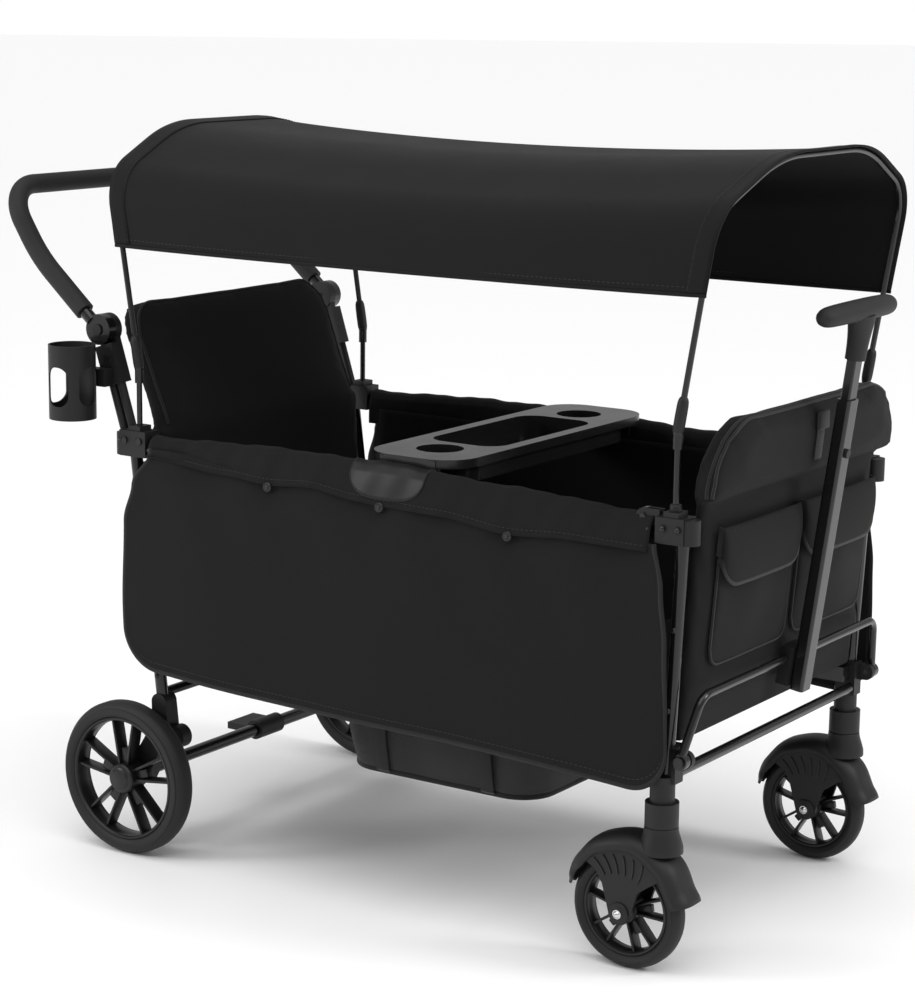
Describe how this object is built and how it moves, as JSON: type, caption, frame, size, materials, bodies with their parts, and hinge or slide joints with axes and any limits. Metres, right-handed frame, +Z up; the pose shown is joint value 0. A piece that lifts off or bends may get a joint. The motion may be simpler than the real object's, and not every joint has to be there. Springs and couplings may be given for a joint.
{
  "type": "wagon with pull handle",
  "caption": "Folding wagon for small children: soft-sided tub on a tube frame, arched canopy, snack tray, telescoping pull handle, push handle and swivel casters.",
  "frame": {"origin": "on the ground under the middle of the bounding box", "axes": "+X towards the pull-handle end, +Y to the side away from the cup holder, +Z up"},
  "size_m": [1.4341, 0.762, 1.1908],
  "materials": {
    "gloss_tube": "gloss black powder coat",
    "moulded_plastic": "fine textured black plastic",
    "rim_plastic": "satin black plastic",
    "tyre": "matt black foam rubber",
    "steel": "zinc plated",
    "woven_fabric": "black woven polyester",
    "canopy_cloth": "smooth black canopy cloth",
    "mesh": "black mesh with webbing",
    "floor_panel": "fabric-covered board",
    "foam_grip": "black foam grip",
    "tray_plastic": "gloss charcoal plastic"
  },
  "bodies": {
    "rear_frame": {"rear_legs": "gloss_tube", "rear_cross_tubes": "gloss_tube", "rear_clamps": "moulded_plastic", "rear_axle": "gloss_tube", "rear_brackets": "moulded_plastic", "rear_hinge_lugs": "gloss_tube", "push_knuckles": "moulded_plastic", "rear_fasteners": "steel", "cup_holder": "moulded_plastic", "rear_backrest": "woven_fabric", "tub_sides": "woven_fabric", "side_flap_near": "woven_fabric", "side_flap_far": "woven_fabric", "storage_basket": "mesh"},
    "floor_rear": {"floor_board_rear": "floor_panel", "floor_pins": "steel", "seat_pad_rear": "woven_fabric"},
    "floor_front": {"floor_board_front": "floor_panel", "seat_pad_front": "woven_fabric"},
    "rails_rear": {"side_rails_rear": "gloss_tube", "rail_sleeves_rear": "woven_fabric", "rail_hinge_pins": "steel"},
    "rails_front": {"side_rails_front": "gloss_tube", "rail_sleeves_front": "woven_fabric"},
    "front_frame": {"front_legs": "gloss_tube", "front_cross_tubes": "gloss_tube", "front_clamps": "moulded_plastic", "caster_sockets": "moulded_plastic", "front_hinge_lugs": "gloss_tube", "front_fasteners": "steel", "front_backrest": "woven_fabric", "front_pockets": "woven_fabric"},
    "caster_near": {"fork_near": "moulded_plastic", "caster_pins_near": "steel"},
    "caster_far": {"fork_far": "moulded_plastic", "caster_pins_far": "steel"},
    "caster_wheel_near": {"caster_rim_near": "rim_plastic", "caster_tyre_near": "tyre"},
    "caster_wheel_far": {"caster_rim_far": "rim_plastic", "caster_tyre_far": "tyre"},
    "rear_wheel_near": {"rear_rim_near": "rim_plastic", "rear_tyre_near": "tyre"},
    "rear_wheel_far": {"rear_rim_far": "rim_plastic", "rear_tyre_far": "tyre"},
    "pull_bar": {"pull_u_bar": "gloss_tube", "pull_outer_tube": "gloss_tube", "pull_foot_bracket": "moulded_plastic"},
    "pull_button": {"pull_button": "moulded_plastic"},
    "pull_extension": {"pull_inner_tube": "gloss_tube", "tee_grip": "moulded_plastic"},
    "push_handle": {"push_handle_tube": "gloss_tube", "push_grip": "foam_grip"},
    "button_near": {"handle_button_near": "moulded_plastic"},
    "button_far": {"handle_button_far": "moulded_plastic"},
    "brake": {"brake_pedal": "moulded_plastic"},
    "tray": {"tray": "tray_plastic"},
    "canopy_rear": {"canopy_hoop_rear": "gloss_tube", "canopy_fabric": "canopy_cloth"},
    "canopy_front": {"canopy_hoop_front": "gloss_tube"}
  },
  "joints": [
    {"name": "fold", "type": "hinge", "parent": "rear_frame", "child": "floor_rear", "pos_m": [-0.372, 0.021, 0.33], "axis": [0, -1, 0], "range_deg": [0, 75], "deforming": ["tub_sides", "side_flap_near", "side_flap_far", "storage_basket", "seat_pad_rear", "seat_pad_front", "canopy_fabric"]},
    {"name": "floor_mid", "type": "hinge", "parent": "floor_rear", "child": "floor_front", "pos_m": [0.073, 0.021, 0.33], "axis": [0, -1, 0], "range_deg": [-150, 0]},
    {"name": "front_pivot", "type": "hinge", "parent": "floor_front", "child": "front_frame", "pos_m": [0.518, 0.021, 0.33], "axis": [0, -1, 0], "range_deg": [0, 75]},
    {"name": "rail_rear", "type": "hinge", "parent": "rear_frame", "child": "rails_rear", "pos_m": [-0.372, 0.021, 0.68], "axis": [0, 1, 0], "range_deg": [0, 75]},
    {"name": "rail_mid", "type": "hinge", "parent": "rails_rear", "child": "rails_front", "pos_m": [0.073, 0.021, 0.68], "axis": [0, 1, 0], "range_deg": [-150, 0]},
    {"name": "tray_lift", "type": "slide", "parent": "rear_frame", "child": "tray", "axis": [0, 0, 1], "range_m": [0, 0.3806]},
    {"name": "caster_swivel_near", "type": "hinge", "parent": "front_frame", "child": "caster_near", "pos_m": [0.556, -0.281, 0.226], "axis": [0, 0, 1], "continuous": true},
    {"name": "caster_swivel_far", "type": "hinge", "parent": "front_frame", "child": "caster_far", "pos_m": [0.556, 0.323, 0.226], "axis": [0, 0, 1], "continuous": true},
    {"name": "caster_spin_near", "type": "hinge", "parent": "caster_near", "child": "caster_wheel_near", "pos_m": [0.506, -0.281, 0.09], "axis": [0, 1, 0], "continuous": true},
    {"name": "caster_spin_far", "type": "hinge", "parent": "caster_far", "child": "caster_wheel_far", "pos_m": [0.506, 0.323, 0.09], "axis": [0, 1, 0], "continuous": true},
    {"name": "rear_spin_near", "type": "hinge", "parent": "rear_frame", "child": "rear_wheel_near", "pos_m": [-0.43, -0.315, 0.128], "axis": [0, 1, 0], "continuous": true},
    {"name": "rear_spin_far", "type": "hinge", "parent": "rear_frame", "child": "rear_wheel_far", "pos_m": [-0.43, 0.357, 0.128], "axis": [0, 1, 0], "continuous": true},
    {"name": "pull_bar_tilt", "type": "hinge", "parent": "front_frame", "child": "pull_bar", "pos_m": [0.592, 0.021, 0.331], "axis": [0, 1, 0], "range_deg": [0, 75]},
    {"name": "pull_tube_slide", "type": "slide", "parent": "pull_bar", "child": "pull_extension", "axis": [0.1323, 0, 0.9912], "range_m": [-0.055, 0.27]},
    {"name": "pull_button_press", "type": "slide", "parent": "pull_bar", "child": "pull_button", "axis": [-0.9912, 0, 0.1323], "range_m": [0, 0.0015], "stiffness_N_per_m": 600},
    {"name": "push_handle_tilt", "type": "hinge", "parent": "rear_frame", "child": "push_handle", "pos_m": [-0.501, 0.021, 0.861], "axis": [0, 1, 0], "range_deg": [-60, 25]},
    {"name": "handle_button_press_near", "type": "slide", "parent": "push_handle", "child": "button_near", "axis": [0, 1, 0], "range_m": [0, 0.003], "stiffness_N_per_m": 600},
    {"name": "handle_button_press_far", "type": "slide", "parent": "push_handle", "child": "button_far", "axis": [0, -1, 0], "range_m": [0, 0.003], "stiffness_N_per_m": 600},
    {"name": "brake_press", "type": "hinge", "parent": "rear_frame", "child": "brake", "pos_m": [-0.43, 0.021, 0.128], "axis": [0, -1, 0], "range_deg": [0, 22]},
    {"name": "canopy_lift_rear", "type": "slide", "parent": "rear_frame", "child": "canopy_rear", "axis": [0, 0, 1], "range_m": [0, 0.12]},
    {"name": "canopy_lift_front", "type": "slide", "parent": "front_frame", "child": "canopy_front", "axis": [0, 0, 1], "range_m": [0, 0.12]}
  ],
  "couplings": [
    {"joint": "floor_mid", "follows": "fold", "ratio": -2},
    {"joint": "front_pivot", "follows": "fold", "ratio": 1},
    {"joint": "rail_rear", "follows": "fold", "ratio": 1},
    {"joint": "rail_mid", "follows": "fold", "ratio": -2},
    {"joint": "tray_lift", "follows": "fold", "m_per_rad": 0.29},
    {"joint": "canopy_lift_front", "follows": "canopy_lift_rear", "ratio": 1}
  ]
}
